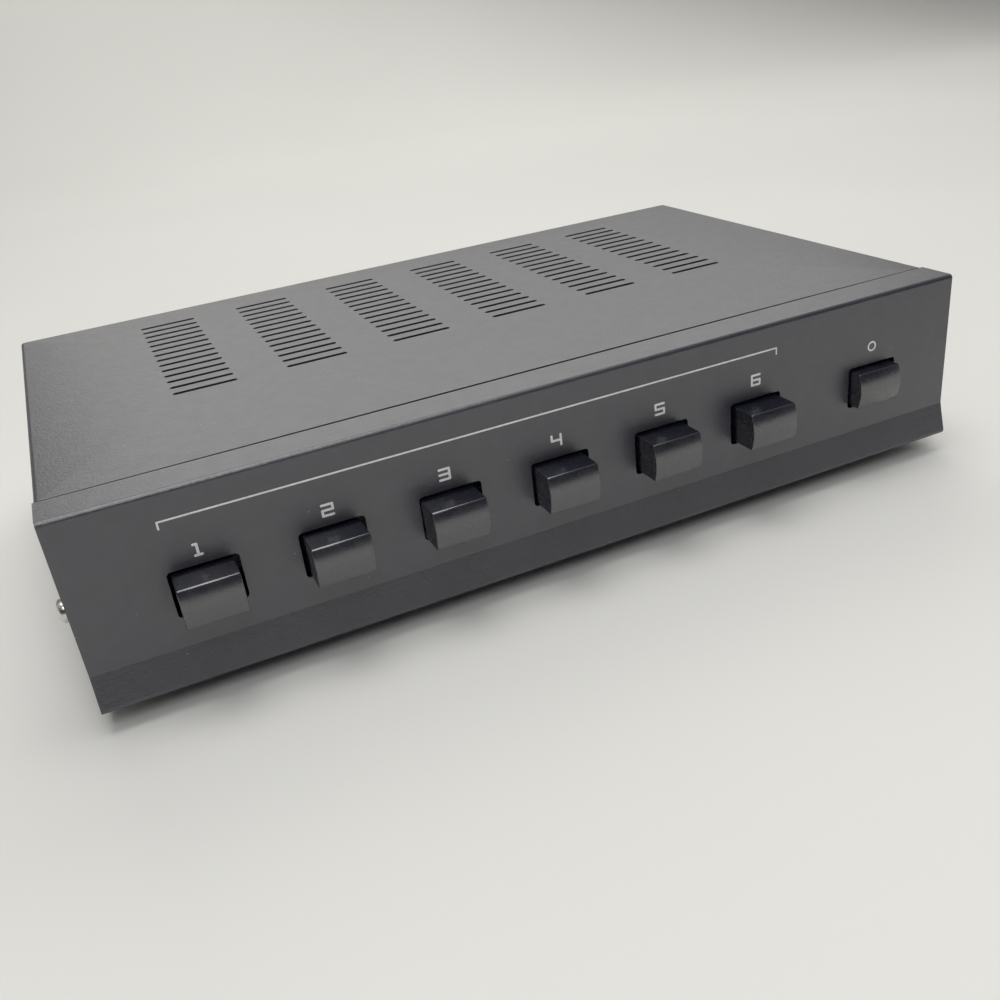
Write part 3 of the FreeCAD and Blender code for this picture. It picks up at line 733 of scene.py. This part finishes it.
def model_screw(name, head_radius, head_height, shank_radius, shank_length):
    """A screw that stands on z = 0 with its head up and its shank down."""
    skirt = head_height * skirt_share
    bpy.ops.object.select_all(action="DESELECT")
    bpy.ops.mesh.primitive_cylinder_add(vertices=screw_sides, radius=head_radius, depth=skirt,
                                        location=(0, 0, skirt / 2))
    screw = settle(bpy.context.active_object)
    screw.name = name
    edit(screw)
    pick(screw, "FACE", lambda f: f.normal.z > square_on)
    radius, height = head_radius, skirt
    for step in dome_steps:
        turn = math.radians(step)
        next_radius = head_radius * math.cos(turn)
        next_height = skirt + (head_height - skirt) * math.sin(turn)
        bpy.ops.mesh.inset(thickness=radius - next_radius, depth=next_height - height)
        radius, height = next_radius, next_height
    pick(screw, "FACE", lambda f: f.normal.z < -square_on)
    bpy.ops.mesh.inset(thickness=head_radius - shank_radius, depth=0)
    bpy.ops.mesh.extrude_region_move(TRANSFORM_OT_translate={"value": (0, 0, -shank_length)})
    close(screw, screw_smooth)
    for turn in (0, 90):
        wedge_size = (head_radius * recess_length, head_radius * recess_width, head_height)
        wedge = start_block("wedge", wedge_size, (0, 0, head_height))
        edit(wedge)
        pick(wedge, "FACE", lambda f: f.normal.z < -square_on)
        bpy.ops.transform.resize(value=(recess_taper, recess_taper, 1))
        close(wedge)
        wedge.data.transform(Matrix.Rotation(math.radians(turn), 4, "Z"))
        apply_modifier(screw, "BOOLEAN", operation="DIFFERENCE", solver="EXACT", object=wedge)
        discard(wedge)
    take(screw)
    bpy.ops.object.shade_smooth_by_angle(angle=math.radians(screw_smooth))
    return screw


print("a screw head is raised in", len(dome_steps), "steps")

# %% [markdown]
# Fitting the screws. A screw is copied to each seat with its head turned the way it was driven in.
# The copies are then joined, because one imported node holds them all, and the joined piece takes
# that node's place and its material slot.

# %% Define how screws are fitted
def fit_screws(node, screw, seats, direction):
    """Copies a screw to its seats with its head in one direction."""
    turn = Vector(direction).to_track_quat("Z", "Y").to_matrix().to_4x4()
    copies = []
    for seat in seats:
        twin = copy_to(screw, f"{node}_{len(copies) + 1}", Vector((0, 0, 0)))
        twin.data.transform(Matrix.Translation(seat) @ turn)
        copies.append(twin)
    return copies


def gather(node, copies, finish, name):
    """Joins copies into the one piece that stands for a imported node."""
    bpy.ops.object.select_all(action="DESELECT")
    for twin in copies:
        twin.select_set(True)
    bpy.context.view_layer.objects.active = copies[0]
    bpy.ops.object.join()
    piece = bpy.context.active_object
    piece.name = name
    piece.data.materials.clear()
    piece.data.materials.append(finish)
    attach(piece, "case")
    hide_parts(node)
    print(name, "pieces", len(copies), "faces", len(piece.data.polygons))
    return piece


print("screw helpers: fit_screws, gather")

# %% [markdown]
# Seating the screws. A screw's place is read from the box of the node that it stands for: the
# box's outer face is the top of the heads, and its ends lie a head's radius beyond the screws. A
# terminal's screws stand in the middle of it, which the boxes of its first and last lever give.

# %% Fit the cover's and the terminals' screws
side_low, side_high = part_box("cover_side_screws")
side_head, side_lift = 3.3 * mm, 2.3 * mm
side_shank, side_reach = 1.5 * mm, 6 * mm
side_screw = model_screw("side_screw_model", side_head, side_lift, side_shank, side_reach)
side_copies = []
for side, reach in ((-1, side_low.x), (1, side_high.x)):
    seats = [(reach - side * side_lift, y, (side_low.z + side_high.z) / 2)
             for y in (side_low.y + side_head, side_high.y - side_head)]
    side_copies += fit_screws("cover_side_screws", side_screw, seats, (side, 0, 0))
gather("cover_side_screws", side_copies, finishes["zinc_screw"], "side_screws_domed")
discard(side_screw)

lip_low, lip_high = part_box("cover_rear_screws")
lip_head, lip_lift = 2.3 * mm, 1.5 * mm
lip_shank, lip_reach = 1.25 * mm, 5 * mm
lip_screw = model_screw("lip_screw_model", lip_head, lip_lift, lip_shank, lip_reach)
lip_places = (lip_low.x + lip_head, 0, lip_high.x - lip_head)
lip_seats = [(x, lip_high.y - lip_lift, (lip_low.z + lip_high.z) / 2) for x in lip_places]
lip_copies = fit_screws("cover_rear_screws", lip_screw, lip_seats, (0, 1, 0))
gather("cover_rear_screws", lip_copies, finishes["black_screw"], "lip_screws_domed")
discard(lip_screw)

plate_low, plate_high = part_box("terminal_screws")
plate_head, plate_lift = 2.4 * mm, 1.6 * mm
plate_shank, plate_reach = 1.25 * mm, 7 * mm
plate_screw = model_screw("terminal_screw_model", plate_head, plate_lift, plate_shank, plate_reach)
terminal_x = {}
for name in terminal_names:
    edges = [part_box(f"{name}_{pole}_lever") for pole in (pole_names[0], pole_names[-1])]
    terminal_x[name] = (edges[0][0].x + edges[1][1].x) / 2
plate_seats = [(x, plate_high.y - plate_lift, z) for x in terminal_x.values()
               for z in (plate_low.z + plate_head, plate_high.z - plate_head)]
plate_copies = fit_screws("terminal_screws", plate_screw, plate_seats, (0, 1, 0))
gather("terminal_screws", plate_copies, finishes["black_screw"], "terminal_screws_domed")
discard(plate_screw)

# %% [markdown]
# The feet. Each is a turned-looking rubber moulding, narrower towards the table, with a soft rim
# and a recess that hides its screw. A cylinder is tapered by scaling its lower end, the underside
# is inset and pushed up into the recess, and the rims are bevelled.

# %% Model the rubber feet and their screws
feet_low, feet_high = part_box("rubber_feet")
foot_radius = 7.5 * mm
foot_taper = 1.0 * mm
foot_recess, foot_recess_depth = 3.6 * mm, 3.5 * mm
foot_tall = feet_high.z
foot_sides = 56
foot_rim, foot_rim_segments = 0.6 * mm, 4
foot_smooth = 40
bpy.ops.object.select_all(action="DESELECT")
bpy.ops.mesh.primitive_cylinder_add(vertices=foot_sides, radius=foot_radius, depth=foot_tall,
                                    location=(0, 0, foot_tall / 2))
foot = settle(bpy.context.active_object)
edit(foot)
pick(foot, "FACE", lambda f: f.normal.z < -square_on)
narrow = (foot_radius - foot_taper) / foot_radius
bpy.ops.transform.resize(value=(narrow, narrow, 1))
bpy.ops.mesh.inset(thickness=foot_radius - foot_taper - foot_recess, depth=0)
bpy.ops.mesh.extrude_region_move(TRANSFORM_OT_translate={"value": (0, 0, foot_recess_depth)})
pick(foot, "EDGE", lambda e: all(near(v.co.z, 0) for v in e.verts))
bpy.ops.mesh.bevel(offset=foot_rim, segments=foot_rim_segments, affect="EDGES")
close(foot, foot_smooth)
foot_places = [(x, y) for x in (feet_low.x + foot_radius, feet_high.x - foot_radius)
               for y in (feet_low.y + foot_radius, feet_high.y - foot_radius)]
feet = [copy_to(foot, f"foot_{n}", Vector((x, y, 0))) for n, (x, y) in enumerate(foot_places)]
gather("rubber_feet", feet, finishes["foot_rubber"], "rubber_feet_moulded")
discard(foot)
foot_head, foot_lift = 3.0 * mm, 2.2 * mm
foot_shank, foot_reach = 1.5 * mm, 7.4 * mm
foot_screw = model_screw("foot_screw_model", foot_head, foot_lift, foot_shank, foot_reach)
foot_seats = [(x, y, foot_recess_depth) for x, y in foot_places]
gather("foot_screws", fit_screws("foot_screws", foot_screw, foot_seats, (0, 0, -1)),
       finishes["zinc_screw"], "foot_screws_domed")
discard(foot_screw)

# %% [markdown]
# The terminal levers. A spring terminal opens when its coloured tab is pressed, so the tab has a
# thumb pad with a few ribs. Its side view is a polygon, written here in millimetres outwards and
# upwards from the middle of the terminal. The ribs lie along the sloping front.

# %% Draw one lever's outline
lever_low, lever_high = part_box("input_left_plus_lever")
lever_zero = Vector((0, rear_face, (plate_low.z + plate_high.z) / 2))
pin_reach = 0.75 * mm
lever_half = (lever_high.x - lever_low.x) / 2 - pin_reach
rib_tops = (1.7, 0.5, -0.7)
rib_width, rib_depth = 0.55, 0.28
slope_out, slope_top = 1.9, 9.9
slope_gain, slope_run = 2.6, 12.3


def slope(height):
    """How far the tab's front stands out at a height, in millimetres."""
    return slope_out + (slope_top - height) * slope_gain / slope_run


outline = [(slope_out, slope_top)]
for top in rib_tops:
    outline += [(slope(top), top), (slope(top) - rib_depth, top - rib_width / 2),
                (slope(top - rib_width), top - rib_width)]
outline += [(4.5, -2.4), (4.5, -3.9), (3.4, -4.6), (0.6, -4.2), (0.0, 0.2),
            (-3.1, 1.2), (-3.1, 2.4), (-1.2, 4.2), (-2.1, 9.7)]
print("lever outline", len(outline), "corners")

# %% [markdown]
# Raising the lever. A disc with as many corners as the outline is made first, each corner is moved
# to its place, and the face is extruded to the tab's width. A bevel softens every edge, and a pin
# through the tab is the hinge that it turns on.

# %% Raise the lever and give it its pin
lever_edge, lever_edge_segments = 0.22 * mm, 3
lever_raw_smooth, lever_smooth = 30, 40
pin_radius, pin_sides = 1.1 * mm, 24
pin_place = Vector((0, -0.6 * mm, 8.0 * mm))
bpy.ops.object.select_all(action="DESELECT")
bpy.ops.mesh.primitive_circle_add(vertices=len(outline), radius=1, fill_type="NGON")
lever = settle(bpy.context.active_object)
for corner, (out, high) in zip(lever.data.vertices, outline):
    corner.co = lever_zero + Vector((-lever_half, out * mm, high * mm))
edit(lever)
bpy.ops.mesh.select_all(action="SELECT")
bpy.ops.mesh.extrude_region_move(TRANSFORM_OT_translate={"value": (2 * lever_half, 0, 0)})
bpy.ops.mesh.select_all(action="SELECT")
bpy.ops.mesh.normals_make_consistent(inside=False)
close(lever, lever_raw_smooth)
apply_modifier(lever, "BEVEL", width=lever_edge, segments=lever_edge_segments,
               limit_method="ANGLE", angle_limit=math.radians(lever_smooth))
bpy.ops.object.select_all(action="DESELECT")
bpy.ops.mesh.primitive_cylinder_add(vertices=pin_sides, radius=pin_radius,
                                    depth=lever_high.x - lever_low.x,
                                    location=lever_zero + pin_place,
                                    rotation=(0, math.pi / 2, 0))
pin = settle(bpy.context.active_object)
apply_modifier(lever, "BOOLEAN", operation="UNION", solver="EXACT", object=pin)
discard(pin)
take(lever)
bpy.ops.object.shade_smooth_by_angle(angle=math.radians(lever_smooth))
print("lever", [round(side / mm, 2) for side in lever.dimensions])

# %% [markdown]
# Copying the lever. It was raised at x = 0, so a copy only moves across to the lever that it
# stands for. The plus poles are red and the minus poles black, and each copy rides on its own
# body, so that it turns on its own hinge.

# %% Copy the lever to the terminals
for name in terminal_names:
    for pole in pole_names:
        node = f"{name}_{pole}_lever"
        piece = copy_to(lever, f"{name}_{pole}_tab", Vector((box_middle(node).x, 0, 0)))
        slot = "lever_red" if pole.endswith("plus") else "lever_black"
        piece.data.materials.clear()
        piece.data.materials.append(finishes[slot])
        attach(piece, node)
        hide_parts(node)
discard(lever)
print("levers", len(terminal_names) * len(pole_names))

# %% [markdown]
# The printed marks. The panels are screen printed in white ink, a film far too thin to see from the
# side. The marks here are plain: a squared number over each channel button, a rule that groups the
# six, a ring over the seventh button, and on the rear the same numbers with plus and minus signs.
# A squared sign is a small grid of cells: a grid is laid out with narrow and wide columns and rows,
# the cells that carry no ink are deleted, and the free corners are rounded.

# %% Mix the ink and lay out the numbers
ink = new_finish("white_print_ink", (0.84, 0.85, 0.84), 0.5)
ink_tones = ((0.76, 0.77, 0.76), (0.88, 0.89, 0.88))
set_colour(ink, blend_colours(ink, spread(ink, noise(ink, 900, 3), 0, 1), *ink_tones))
set_roughness(ink, noise(ink, 600, 2), 0.45, 0.6)
set_grain(ink, (noise(ink, 2500, 2), 0.2, fine_grain))
ink_film = 0.03 * mm
stroke = 0.72
number_cells = {
    "1": ("110", "010", "010", "010", "111"),
    "2": ("111", "001", "111", "100", "111"),
    "3": ("111", "001", "111", "001", "111"),
    "4": ("101", "101", "111", "001", "001"),
    "5": ("111", "100", "111", "001", "111"),
    "6": ("111", "100", "111", "101", "111"),
}
wide_columns = (stroke, 2.2, stroke)
one_columns = (0.85, stroke, 0.85)
number_rows = (stroke, 0.85, stroke, 0.85, stroke)
print("numbers laid out", len(number_cells))

# %% [markdown]
# The printing. A flat sign gets its film of ink and is stood up on a panel, facing forwards or
# back. A sign of cells is deleted down to its inked cells first, and its free corners are rounded.

# %% Define the printing
def lay_ink(piece, name, middle, facing):
    """Gives a flat sign its film of ink and stands it on a panel. facing is -1 front, 1 rear."""
    piece.name = name
    apply_modifier(piece, "SOLIDIFY", thickness=ink_film, offset=1)
    stand = Matrix.Rotation(math.pi / 2, 4, "X")
    turn = Matrix.Rotation(0 if facing < 0 else math.pi, 4, "Z")
    piece.data.transform(Matrix.Translation(middle) @ turn @ stand)
    piece.data.materials.clear()
    piece.data.materials.append(ink)
    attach(piece, "case")
    return piece


def print_cells(name, cells, columns, rows, middle, facing, size=1.0, corner=0.34):
    """Prints a sign from rows of inked (1) and bare (0) cells. The widths are in millimetres."""
    bpy.ops.object.select_all(action="DESELECT")
    bpy.ops.mesh.primitive_grid_add(x_subdivisions=len(columns), y_subdivisions=len(rows), size=2)
    piece = bpy.context.active_object
    across = [sum(columns[:n]) - sum(columns) / 2 for n in range(len(columns) + 1)]
    down = [sum(rows) / 2 - sum(rows[:n]) for n in range(len(rows) + 1)]
    for point in piece.data.vertices:
        column = round((point.co.x + 1) / 2 * len(columns))
        row = round((1 - point.co.y) / 2 * len(rows))
        point.co = Vector((across[column], down[row], 0)) * size * mm
    edit(piece)

    def is_bare(face):
        centre = face.calc_center_median() / (size * mm)
        column = max(n for n, x in enumerate(across[:-1]) if centre.x > x)
        row = max(n for n, y in enumerate(down[:-1]) if centre.y < y)
        return cells[row][column] == "0"

    if pick(piece, "FACE", is_bare):
        bpy.ops.mesh.delete(type="FACE")
    if pick(piece, "VERT", lambda v: len(v.link_faces) == 1):
        bpy.ops.mesh.bevel(offset=corner * size * mm, segments=3, affect="VERTICES")
    bpy.ops.object.mode_set(mode="OBJECT")
    return lay_ink(piece, name, middle, facing)


def print_number(name, digit, middle, facing, size=1.0):
    """Prints one squared number."""
    columns = one_columns if digit == "1" else wide_columns
    return print_cells(name, number_cells[digit], columns, number_rows, middle, facing, size)


print("printing helpers: lay_ink, print_cells, print_number")

# %% [markdown]
# Printing the front. The numbers stand over the caps and climb a little from the first to the
# sixth. Above them runs the rule, with a short tick at each end, and the ring is a disc with a
# hole in it.

# %% Print the front
first_mark = 43.95 * mm
mark_rise = 0.34 * mm
for index, name in enumerate(button_names[:6]):
    cap_x = box_middle(f"{name}_cap").x
    place = Vector((cap_x, front_face, first_mark + index * mark_rise))
    print_number(f"print_number_{index + 1}", str(index + 1), place, -1)

rule_height = 53.2 * mm
rule_overhang, rule_stroke, rule_tick = 7.4, 0.5, 1.9
rule_left = box_middle("button_1_cap").x / mm - rule_overhang
rule_right = box_middle("button_6_cap").x / mm + rule_overhang
rule_middle = Vector(((rule_left + rule_right) / 2 * mm, front_face, rule_height))
rule_columns = (rule_stroke, rule_right - rule_left, rule_stroke)
print_cells("print_group_rule", ("111", "101"), rule_columns, (rule_stroke, rule_tick),
            rule_middle, -1, corner=0.15)

ring_radius, ring_stroke, ring_sides = 1.7 * mm, 0.55 * mm, 48
ring_height = 45.6 * mm
bpy.ops.object.select_all(action="DESELECT")
bpy.ops.mesh.primitive_circle_add(vertices=ring_sides, radius=ring_radius, fill_type="NGON")
ring = bpy.context.active_object
edit(ring)
bpy.ops.mesh.select_all(action="SELECT")
bpy.ops.mesh.inset(thickness=ring_stroke, depth=0)
bpy.ops.mesh.delete(type="FACE")
bpy.ops.object.mode_set(mode="OBJECT")
ring_x = box_middle("protection_button_cap").x
lay_ink(ring, "print_ring", Vector((ring_x, front_face, ring_height)), -1)
print("front marks printed")

# %% [markdown]
# Printing the rear. Each output's number stands above its terminal and to one side, a triangle
# stands there at the input, and each lever has its pole's sign below it.

# %% Print the rear
number_beside = 9.5 * mm
number_above = 51.3 * mm
sign_below = 12.6 * mm
rear_number_size = 0.9
sign_arm, sign_stroke = 0.7, 0.45
sign_columns = (sign_arm, sign_stroke, sign_arm)
arrow_radius = 1.9 * mm
for name in terminal_names:
    x = terminal_x[name]
    if name != "input":
        digit = name[-1]
        place = Vector((x + number_beside, rear_face, number_above))
        print_number(f"print_rear_number_{digit}", digit, place, 1, rear_number_size)
    for pole in pole_names:
        place = Vector((box_middle(f"{name}_{pole}_lever").x, rear_face, sign_below))
        if pole.endswith("plus"):
            cells, rows = ("010", "111", "010"), sign_columns
        else:
            cells, rows = ("111",), (sign_stroke,)
        print_cells(f"print_{name}_{pole}", cells, sign_columns, rows, place, 1, corner=0.1)
bpy.ops.object.select_all(action="DESELECT")
bpy.ops.mesh.primitive_circle_add(vertices=3, radius=arrow_radius, fill_type="NGON",
                                  rotation=(0, 0, math.pi))
lay_ink(settle(bpy.context.active_object), "print_input_arrow",
        Vector((terminal_x["input"] + number_beside, rear_face, number_above)), 1)
print("rear marks printed", len(terminal_names) * (len(pole_names) + 1))

# %% [markdown]
# The end. The imported model's box and the dressed model's box are printed together, so that a
# change of size would show.

# %% Write the sizes and finish
for owner, low_high in (("cad", cad_box), ("visual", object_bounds())):
    print(owner, [round(c / mm, 2) for corner in low_high for c in corner])
